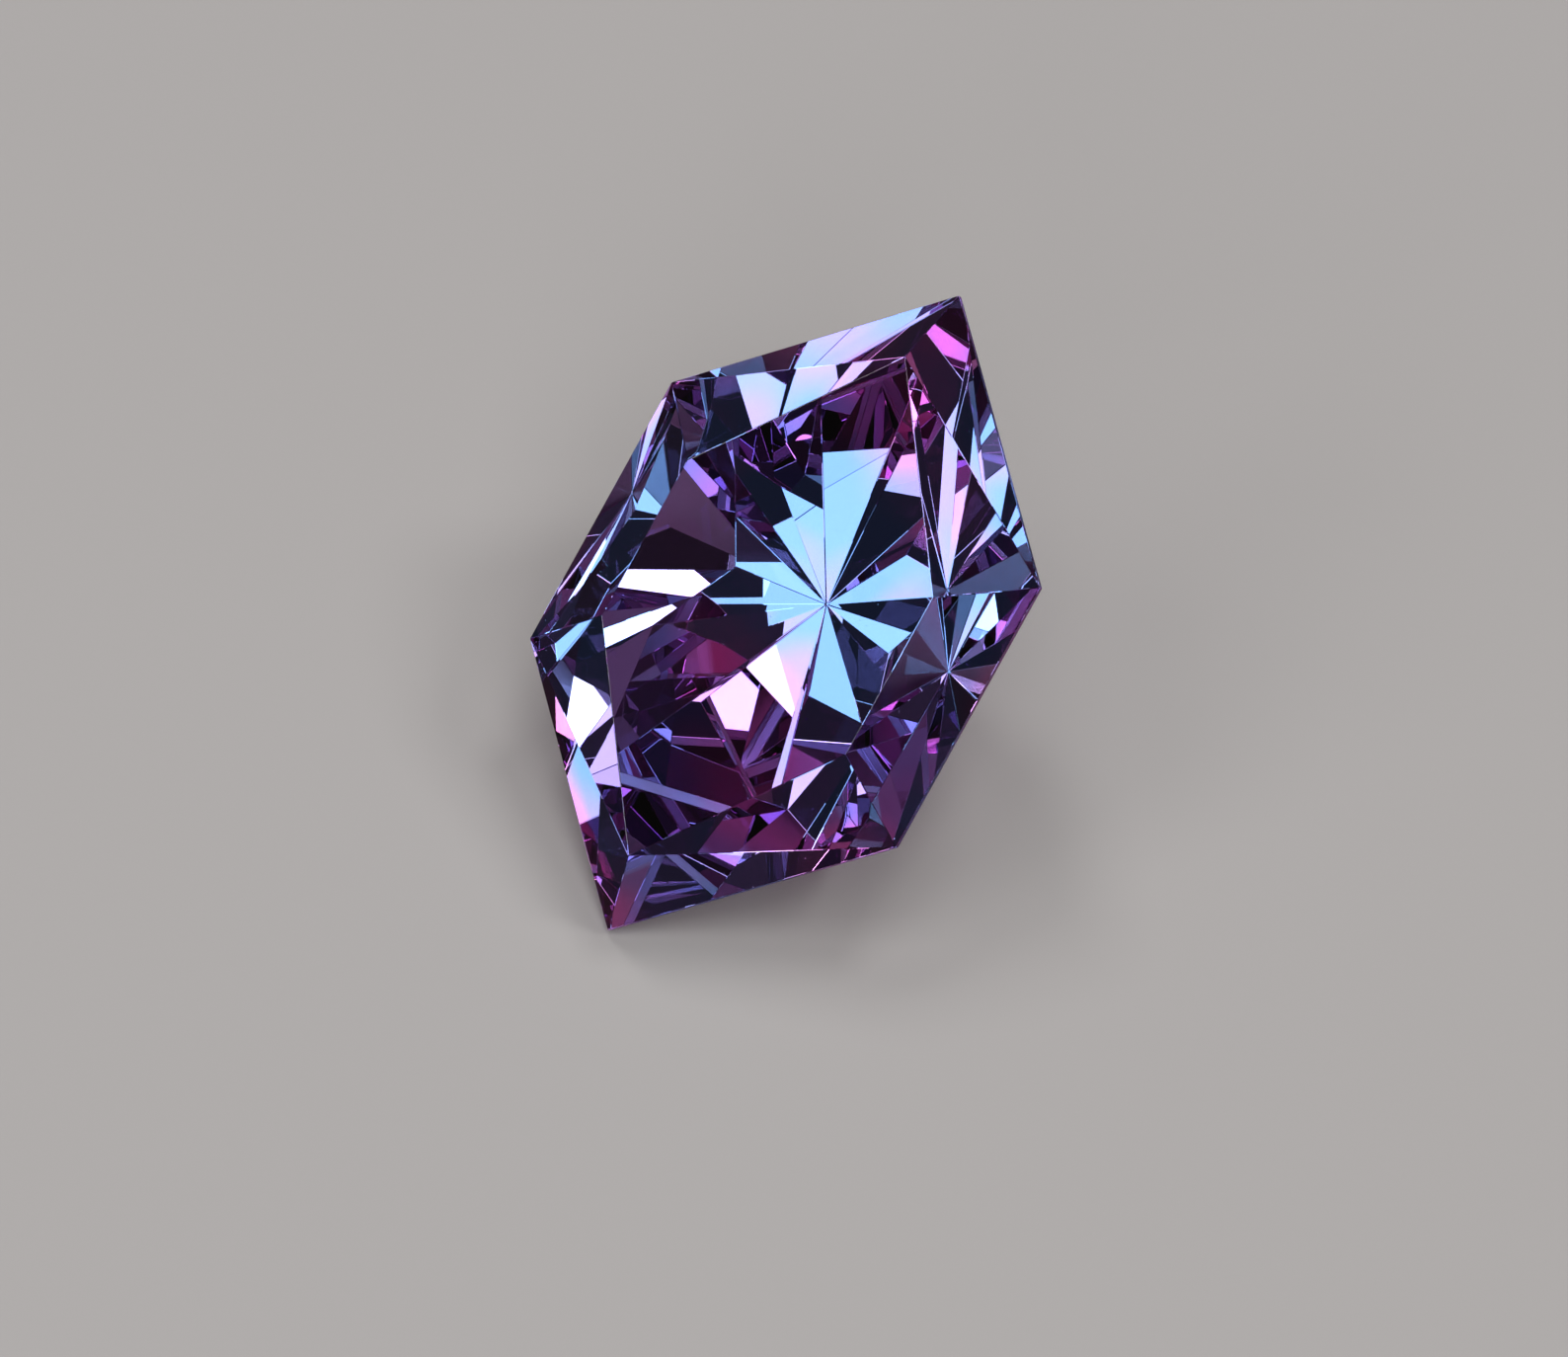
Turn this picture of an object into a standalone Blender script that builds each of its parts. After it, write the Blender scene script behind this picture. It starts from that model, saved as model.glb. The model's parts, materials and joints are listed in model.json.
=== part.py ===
"""A loose alexandrite in a fancy cut, lying on one pavilion facet.

Seen from above it is a long hexagon with two pointed ends and two straight sides. The stone is worked
as a cutter works it: a rough block is held square, and each flat facet is ground in turn. The table is
up and the long axis runs along X until the last step, which lays the stone down at its real size.
"""

import math

import bmesh
import bpy
from mathutils import Matrix, Vector

# Driving dimensions, in millimetres
LENGTH = 7.50
WIDTH = 4.48
SIDE_LENGTH = 3.05
GIRDLE_THICKNESS = 0.12
TABLE_LENGTH = 5.84
TABLE_WIDTH = 2.96
TABLE_SIDE_LENGTH = 1.83
CROWN_HEIGHT = 0.78
PAVILION_DEPTH = 3.35
CULET_OFFSET = 0.26
ROUGH_SIZE = 12.0

# How steeply the ridges between the mains rise from the culet, in degrees. On each half of the stone they
# run, from the +X point round to the -X point, under the middle of an end edge, to a shoulder, under the
# middle of the side and to the other shoulder.
RIDGE_SLOPES = (41.5, 45.1, 40.4, 41.8)

# How steeply the break facets under the girdle stand, in degrees
END_BREAK_SLOPE = 79.8
SIDE_BREAK_SLOPE = 61.9

# The wide main, on which the stone lies, counted anticlockwise from the +X point
WIDE_MAIN = 5

# Planes closer than this meet in one point, in millimetres
MEET_TOLERANCE = 1e-5
MILLIMETRE = 0.001

POLISH_ROUGHNESS = 0.02
REFRACTIVE_INDEX = 1.75
DARK_RED_VIOLET = (0.16, 0.03, 0.15, 1)

UP = Vector((0, 0, 1))
DOWN = Vector((0, 0, -1))


def long_hexagon(length, width, side, height):
    """Six corners, anticlockwise from the +X point: point, two shoulders, point, two shoulders."""
    corners = ((length, 0), (side, width), (-side, width), (-length, 0), (-side, -width), (side, -width))
    return [Vector((x / 2, y / 2, height)) for x, y in corners]


GIRDLE = long_hexagon(LENGTH, WIDTH, SIDE_LENGTH, 0)
GIRDLE_FOOT = long_hexagon(LENGTH, WIDTH, SIDE_LENGTH, -GIRDLE_THICKNESS)
TABLE = long_hexagon(TABLE_LENGTH, TABLE_WIDTH, TABLE_SIDE_LENGTH, CROWN_HEIGHT)
CULET = Vector((CULET_OFFSET, 0, -PAVILION_DEPTH))
EDGES = [(corner, (corner + 1) % len(GIRDLE)) for corner in range(len(GIRDLE))]
LONG_SIDES = ((1, 2), (4, 5))
POINTS = {0: (1, 5), 3: (2, 4)}


def rough_block():
    """The block that the stone is cut from."""
    stone = bmesh.new()
    bmesh.ops.create_cube(stone, size=ROUGH_SIZE)
    return stone


def grind(stone, outward, point):
    """Grinds one facet: what stands outside the plane goes, and the new face closes the cut."""
    everything = stone.verts[:] + stone.edges[:] + stone.faces[:]
    bmesh.ops.bisect_plane(
        stone, geom=everything, dist=MEET_TOLERANCE, plane_co=point, plane_no=outward, clear_outer=True
    )
    rim = [edge for edge in stone.edges if edge.is_boundary]
    if rim:
        bmesh.ops.contextual_create(stone, geom=rim)


def facing_up(first, second, third):
    """The unit normal, on the upper side, of the plane through three points."""
    normal = (second - first).cross(third - first).normalized()
    return normal if normal.z > 0 else -normal


def edge_direction(first, second):
    """The horizontal direction that faces out from one side of the girdle."""
    along = GIRDLE[second] - GIRDLE[first]
    return Vector((along.y, -along.x, 0)).normalized()


def grind_outline(stone):
    """The table on top and the six upright faces of the girdle."""
    grind(stone, UP, TABLE[0])
    for first, second in EDGES:
        grind(stone, edge_direction(first, second), GIRDLE[first])


def grind_crown(stone):
    """Two facets on each end edge, which meet on a line from shoulder to table point, and one on each side."""
    for point, shoulders in POINTS.items():
        for shoulder in shoulders:
            grind(stone, facing_up(GIRDLE[point], GIRDLE[shoulder], TABLE[point]), GIRDLE[shoulder])
            grind(stone, facing_up(GIRDLE[shoulder], TABLE[point], TABLE[shoulder]), GIRDLE[shoulder])
    for first, second in LONG_SIDES:
        grind(stone, facing_up(GIRDLE[first], GIRDLE[second], TABLE[first]), GIRDLE[first])


def ridge_towards(spot, slope):
    """The direction of a ridge that leaves the culet towards a spot on the girdle and rises at a slope."""
    level = Vector((spot.x - CULET.x, spot.y - CULET.y, 0)).normalized()
    return level * math.cos(math.radians(slope)) + UP * math.sin(math.radians(slope))


def pavilion_ridges():
    """Eleven directions up from the culet, anticlockwise from the one to the +X point of the girdle.

    On each half there is one to each shoulder and one under the middle of each edge. The last pair bounds
    the one wide main at the -X end, which reaches the girdle just at that point.
    """
    ridges = [(GIRDLE_FOOT[0] - CULET).normalized()]
    spots = [GIRDLE_FOOT[0].lerp(GIRDLE_FOOT[1], 0.5), GIRDLE_FOOT[1]]
    spots += [GIRDLE_FOOT[1].lerp(GIRDLE_FOOT[2], 0.5), GIRDLE_FOOT[2]]
    ridges += [ridge_towards(spot, slope) for spot, slope in zip(spots, RIDGE_SLOPES)]
    out = GIRDLE_FOOT[3] - CULET
    spot = GIRDLE_FOOT[2].lerp(GIRDLE_FOOT[3], 0.5) - CULET
    ridges.append(Vector((spot.x, spot.y, spot.x * out.z / out.x)).normalized())
    other_half = [Vector((ridge.x, -ridge.y, ridge.z)) for ridge in reversed(ridges[1:])]
    return ridges + other_half


def main_normals():
    """The outward normal of each main, which lies between one ridge and the next."""
    ridges = pavilion_ridges()
    return [following.cross(ridge).normalized() for ridge, following in zip(ridges, ridges[1:] + ridges[:1])]


def grind_pavilion(stone):
    """The mains, all meeting in the culet, and one steeper break facet under each edge of the girdle."""
    for normal in main_normals():
        grind(stone, normal, CULET)
    for edge in EDGES:
        slope = math.radians(SIDE_BREAK_SLOPE if edge in LONG_SIDES else END_BREAK_SLOPE)
        grind(stone, edge_direction(*edge) * math.sin(slope) + DOWN * math.cos(slope), GIRDLE_FOOT[edge[0]])


def lay_down(stone, facet_normal):
    """Sets the stone on one facet, at its real size and centred on the ground.

    The facet faces along the long axis and down, so the tip leaves that axis over X.
    """
    tip = facet_normal.rotation_difference(DOWN)
    stone.transform(Matrix.Scale(MILLIMETRE, 4) @ tip.to_matrix().to_4x4())
    lows = [min(vert.co[axis] for vert in stone.verts) for axis in range(3)]
    highs = [max(vert.co[axis] for vert in stone.verts) for axis in range(3)]
    middle = Vector(((lows[0] + highs[0]) / 2, (lows[1] + highs[1]) / 2, lows[2]))
    stone.transform(Matrix.Translation(-middle))


def stone_material():
    material = bpy.data.materials.new("alexandrite")
    material.use_nodes = True
    surface = material.node_tree.nodes["Principled BSDF"]
    surface.inputs["Base Color"].default_value = DARK_RED_VIOLET
    surface.inputs["Roughness"].default_value = POLISH_ROUGHNESS
    surface.inputs["Metallic"].default_value = 0
    surface.inputs["IOR"].default_value = REFRACTIVE_INDEX
    return material


def make_alexandrite():
    stone = rough_block()
    grind_outline(stone)
    grind_crown(stone)
    grind_pavilion(stone)
    bmesh.ops.recalc_face_normals(stone, faces=stone.faces[:])
    lay_down(stone, main_normals()[WIDE_MAIN])
    mesh = bpy.data.meshes.new("alexandrite")
    stone.to_mesh(mesh)
    stone.free()
    mesh.materials.append(stone_material())
    alexandrite = bpy.data.objects.new("alexandrite", mesh)
    bpy.context.scene.collection.objects.link(alexandrite)


for old in list(bpy.data.objects):
    bpy.data.objects.remove(old, do_unlink=True)
make_alexandrite()
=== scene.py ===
"""A loose alexandrite in a fancy cut, lying on a plain pale surface under soft studio light."""

import json
import math

import bpy
from mathutils import Matrix, Vector

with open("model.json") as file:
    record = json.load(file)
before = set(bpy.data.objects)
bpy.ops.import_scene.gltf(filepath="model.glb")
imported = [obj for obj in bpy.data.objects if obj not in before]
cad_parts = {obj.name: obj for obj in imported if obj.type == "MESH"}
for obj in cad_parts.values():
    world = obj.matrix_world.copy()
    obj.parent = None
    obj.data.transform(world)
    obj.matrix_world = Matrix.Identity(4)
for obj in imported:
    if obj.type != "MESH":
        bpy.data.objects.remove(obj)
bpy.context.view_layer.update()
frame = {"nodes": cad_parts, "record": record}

# The stone
# One crystal of chrysoberyl, ground flat facet by facet and polished on all but the narrow girdle.
# It lies loose on the wide main facet under its low point, with nothing holding it.

MILLIMETRE = 0.001
CROWN_HEIGHT = 0.78 * MILLIMETRE
WELD_DISTANCE = 1e-7
EDGE_ROUNDING = 0.006 * MILLIMETRE
ROUNDING_STEPS = 2
LEAST_BEND = math.radians(2)
REFRACTIVE_INDEX = 1.75

# What is left of each colour along a path inside, and how fast the rest is taken out
DEPTH_COLOUR = (0.76, 0.18, 0.73, 1)
ABSORPTION = 120.0

# The two tints of the crown, and the red violet under the girdle that is made deep as painted shade, with
# how each gives way to the next
BLUE_TINT = (0.19, 0.72, 1.0, 1)
LILAC_TINT = (0.96, 0.56, 0.99, 1)
DRIFT_SCALE = 420.0
DRIFT_DETAIL = 1
BLUE_ENDS = 0.42
LILAC_STARTS = 0.55
# Painted shade: the red violet of the stone is made this dark so that light through the pavilion comes out
# as dim as from dark surroundings, though the floor is pale
RED_VIOLET_AND_PAINTED_SHADE = (0.36, 0.002, 0.06, 1)
PAINTED_SHADE_START = 0.05 * MILLIMETRE
PAINTED_SHADE_FULL = 0.20 * MILLIMETRE
SWIRL_SCALE = 900.0
SWIRL_DETAIL = 3
SWIRL_STRENGTH = 0.25

# The ground band of the girdle, whose faces stand square to the table, and the pits in the polish
GIRDLE_FACING = 0.12
GIRDLE_ROUGHNESS = 0.32
PIT_SCALE = 5200.0
PIT_SIZE = 0.045
PIT_ROUGHNESS = 0.30

stone = frame["nodes"]["alexandrite"]
table = next(mount for mount in frame["record"]["mounts"] if mount["name"] == "table")
table_direction = Vector(table["axis"])
girdle_centre = Vector(table["pos_m"]) - table_direction * CROWN_HEIGHT


def soften_edges(stone):
    """Joins the facets into one skin and rounds the junctions by a few thousandths of a millimetre."""
    weld = stone.modifiers.new("one_skin", "WELD")
    weld.merge_threshold = WELD_DISTANCE
    bevel = stone.modifiers.new("facet_junctions", "BEVEL")
    bevel.width = EDGE_ROUNDING
    bevel.segments = ROUNDING_STEPS
    bevel.limit_method = "ANGLE"
    bevel.angle_limit = LEAST_BEND


def calculate(tree, operation, *values):
    """One sum on up to three values, each a socket or a number."""
    node = tree.nodes.new("ShaderNodeMath")
    node.operation = operation
    for socket, value in zip(node.inputs, values):
        if isinstance(value, bpy.types.NodeSocket):
            tree.links.new(value, socket)
        else:
            socket.default_value = value
    return node.outputs["Value"]


def towards_table(tree, vector, start):
    """How far a vector reaches along the way the table faces, measured from a starting point."""
    offset = tree.nodes.new("ShaderNodeVectorMath")
    offset.operation = "SUBTRACT"
    tree.links.new(vector, offset.inputs[0])
    offset.inputs[1].default_value = start
    reach = tree.nodes.new("ShaderNodeVectorMath")
    reach.operation = "DOT_PRODUCT"
    tree.links.new(offset.outputs["Vector"], reach.inputs[0])
    reach.inputs[1].default_value = table_direction
    return reach.outputs["Value"]


def ramp(tree, value, low, high, to_low, to_high):
    """Carries a value smoothly from one range to another."""
    node = tree.nodes.new("ShaderNodeMapRange")
    node.interpolation_type = "SMOOTHSTEP"
    tree.links.new(value, node.inputs["Value"])
    for name, number in (("From Min", low), ("From Max", high), ("To Min", to_low), ("To Max", to_high)):
        node.inputs[name].default_value = number
    return node.outputs["Result"]


def cloud(tree, place, scale, detail):
    """Soft uneven patches through the crystal, from 0 to 1."""
    noise = tree.nodes.new("ShaderNodeTexNoise")
    noise.inputs["Scale"].default_value = scale
    noise.inputs["Detail"].default_value = detail
    tree.links.new(place, noise.inputs["Vector"])
    return noise.outputs["Fac"]


def mixed(tree, share, low, high):
    """One colour turning into another; each is a socket or four numbers."""
    mix = tree.nodes.new("ShaderNodeMix")
    mix.data_type = "RGBA"
    tree.links.new(share, mix.inputs["Factor"])
    for name, value in (("A", low), ("B", high)):
        if isinstance(value, bpy.types.NodeSocket):
            tree.links.new(value, mix.inputs[name])
        else:
            mix.inputs[name].default_value = value
    return mix.outputs["Result"]


def tint(tree, place):
    """Blue green drifting into lilac on the crown, and under the girdle a red violet with a slight swirl,
    made deep as painted shade.

    The drift stands for the way that an alexandrite shows another colour in each direction.
    """
    drift = ramp(tree, cloud(tree, place, DRIFT_SCALE, DRIFT_DETAIL), BLUE_ENDS, LILAC_STARTS, 0, 1)
    crown = mixed(tree, drift, BLUE_TINT, LILAC_TINT)
    # Painted shade under the girdle: the deep dark tint takes over there and dims the light that passes
    # through the pavilion
    painted_shade_share = ramp(tree, towards_table(tree, place, girdle_centre), -PAINTED_SHADE_FULL, -PAINTED_SHADE_START, 1, 0)
    swirl = cloud(tree, place, SWIRL_SCALE, SWIRL_DETAIL)
    uneven = calculate(tree, "MULTIPLY_ADD", swirl, SWIRL_STRENGTH, 1 - SWIRL_STRENGTH)
    return mixed(tree, calculate(tree, "MULTIPLY", painted_shade_share, uneven), crown, RED_VIOLET_AND_PAINTED_SHADE)


def polish(tree, place, facing):
    """Mirror polish with a few pinpoint pits, and the fine ground band of the girdle."""
    pits = tree.nodes.new("ShaderNodeTexVoronoi")
    pits.inputs["Scale"].default_value = PIT_SCALE
    tree.links.new(place, pits.inputs["Vector"])
    pit = ramp(tree, pits.outputs["Distance"], 0, PIT_SIZE, PIT_ROUGHNESS, 0)
    tilt = calculate(tree, "ABSOLUTE", towards_table(tree, facing, (0, 0, 0)))
    band = ramp(tree, tilt, GIRDLE_FACING / 2, GIRDLE_FACING, GIRDLE_ROUGHNESS, 0)
    return calculate(tree, "MAXIMUM", pit, band)


def alexandrite_material():
    """Clear crystal that takes green and yellow out of the light, more of it the longer the path inside."""
    material = bpy.data.materials.new("alexandrite")
    material.use_nodes = True
    tree = material.node_tree
    surface = tree.nodes["Principled BSDF"]
    surface.inputs["Metallic"].default_value = 0
    surface.inputs["IOR"].default_value = REFRACTIVE_INDEX
    surface.inputs["Transmission Weight"].default_value = 1
    coordinates = tree.nodes.new("ShaderNodeTexCoord")
    place = coordinates.outputs["Object"]
    tree.links.new(tint(tree, place), surface.inputs["Base Color"])
    tree.links.new(polish(tree, place, coordinates.outputs["Normal"]), surface.inputs["Roughness"])
    depth = tree.nodes.new("ShaderNodeVolumeAbsorption")
    depth.inputs["Color"].default_value = DEPTH_COLOUR
    depth.inputs["Density"].default_value = ABSORPTION
    tree.links.new(depth.outputs["Volume"], tree.nodes["Material Output"].inputs["Volume"])
    return material


soften_edges(stone)
stone.data.materials[0] = alexandrite_material()

# The floor
# A plain pale sheet of smooth board, much larger than the stone. It touches only at specks of dust,
# so a film of air stays under the polished facet.

FLOOR_SIZE = 0.4
FLOOR_GAP = 0.003 * MILLIMETRE
FLOOR_COLOUR = (0.40, 0.39, 0.39, 1)
FLOOR_ROUGHNESS = 0.6


def make_floor():
    half = FLOOR_SIZE / 2
    mesh = bpy.data.meshes.new("floor")
    corners = [(-half, -half), (half, -half), (half, half), (-half, half)]
    mesh.from_pydata([(x, y, -FLOOR_GAP) for x, y in corners], [], [(0, 1, 2, 3)])
    material = bpy.data.materials.new("floor_board")
    material.use_nodes = True
    surface = material.node_tree.nodes["Principled BSDF"]
    surface.inputs["Base Color"].default_value = FLOOR_COLOUR
    surface.inputs["Roughness"].default_value = FLOOR_ROUGHNESS
    mesh.materials.append(material)
    floor = bpy.data.objects.new("floor", mesh)
    bpy.context.scene.collection.objects.link(floor)
    return floor


# The facets don't mirror the floor, so the margins of the stone stay deep in tone
floor = make_floor()
floor.visible_glossy = False

# The camera
# It looks down on the table from beyond the stone's low point, a little rolled, through a long lens.
# The middle of the girdle is seen at one pixel of the frame.

CAMERA_AZIMUTH = math.radians(-158.5)
CAMERA_ELEVATION = math.radians(50.9)
CAMERA_ROLL = math.radians(12.41)
CAMERA_DISTANCE = 71.5 * MILLIMETRE
FARTHEST_SEEN = 10.0
FRAME_WIDTH = 1588
FRAME_HEIGHT = 1374
FOCAL_PIXELS = 7000
STONE_PIXEL = (792.93, 620.92)
SENSOR_WIDTH = 36.0


def camera_axes():
    """Right, up and backward, as unit vectors in the part's frame."""
    outward = Vector((math.cos(CAMERA_AZIMUTH), math.sin(CAMERA_AZIMUTH), 0))
    back = outward * math.cos(CAMERA_ELEVATION) + Vector((0, 0, math.sin(CAMERA_ELEVATION)))
    level = Vector((0, 0, 1)).cross(back).normalized()
    upright = back.cross(level)
    right = level * math.cos(CAMERA_ROLL) + upright * math.sin(CAMERA_ROLL)
    return right, back.cross(right), back


def make_camera():
    """Stands straight back from the girdle's middle, then turns a little to set the stone in the frame."""
    right, up, back = camera_axes()
    data = bpy.data.cameras.new("camera")
    data.sensor_width = SENSOR_WIDTH
    data.lens = SENSOR_WIDTH * FOCAL_PIXELS / FRAME_WIDTH
    data.clip_start = MILLIMETRE
    data.clip_end = FARTHEST_SEEN
    camera = bpy.data.objects.new("camera", data)
    place = girdle_centre + back * CAMERA_DISTANCE
    step = CAMERA_DISTANCE / FOCAL_PIXELS
    aside = right * step * (FRAME_WIDTH / 2 - STONE_PIXEL[0])
    above = up * step * (STONE_PIXEL[1] - FRAME_HEIGHT / 2)
    back = (place - girdle_centre - aside - above).normalized()
    right = up.cross(back).normalized()
    turn = Matrix((right, back.cross(right), back)).transposed().to_4x4()
    camera.matrix_world = Matrix.Translation(place) @ turn
    bpy.context.scene.collection.objects.link(camera)
    bpy.context.scene.camera = camera


make_camera()

# The light
# Soft round white panels face the stone in a dim room: a wide one by the lens, a ring round the way that
# the table faces, and a row high over the raised end. The colour of each flash comes from the crystal.

PANEL_DISTANCE = 0.5
PANEL_COLOUR = (1, 0.98, 0.96)
ROOM_COLOUR = (0.03, 0.025, 0.028, 1)
LIGHT_BOUNCES = 24
GLOSS_BOUNCES = 12

# In degrees: how far the panels lean from the way the table faces, where round it the first one stands,
# the step to the next, and the radius of each as the stone sees it
LENS_PANEL = dict(count=1, lean=14, first=110, step=0, radius=14, radiance=2.6)
TABLE_RING = dict(count=8, lean=31, first=25, step=45, radius=9.5, radiance=2.9)
BACK_ROW = dict(count=3, lean=60, first=145, step=35, radius=8, radiance=9.0)


def round_the_table(lean, turn):
    """A direction that leans from the way the table faces, turned round it from the low point's side."""
    downhill = table_direction.cross(Vector((0, 1, 0))).normalized()
    across = table_direction.cross(downhill)
    aside = downhill * math.cos(turn) + across * math.sin(turn)
    return table_direction * math.cos(lean) + aside * math.sin(lean)


def make_panel(out, radius, radiance):
    """A soft round panel that faces the stone."""
    light = bpy.data.lights.new("panel", "AREA")
    light.shape = "DISK"
    light.size = 2 * PANEL_DISTANCE * math.tan(radius)
    light.color = PANEL_COLOUR
    light.energy = radiance * math.pi * math.pi * (light.size / 2) ** 2
    lamp = bpy.data.objects.new("panel", light)
    lamp.location = girdle_centre + out * PANEL_DISTANCE
    lamp.rotation_euler = out.to_track_quat("Z", "Y").to_euler()
    bpy.context.scene.collection.objects.link(lamp)


def make_row(count, lean, first, step, radius, radiance):
    """Like panels at one lean, each a step further round."""
    for number in range(count):
        turn = math.radians(first + number * step)
        make_panel(round_the_table(math.radians(lean), turn), math.radians(radius), radiance)


def make_room():
    world = bpy.data.worlds.new("studio")
    world.use_nodes = True
    world.node_tree.nodes["Background"].inputs["Color"].default_value = ROOM_COLOUR
    bpy.context.scene.world = world


for row in (LENS_PANEL, TABLE_RING, BACK_ROW):
    make_row(**row)
make_room()

bpy.context.scene.view_settings.view_transform = "Standard"
bpy.context.scene.cycles.max_bounces = LIGHT_BOUNCES
bpy.context.scene.cycles.transmission_bounces = LIGHT_BOUNCES
bpy.context.scene.cycles.glossy_bounces = GLOSS_BOUNCES
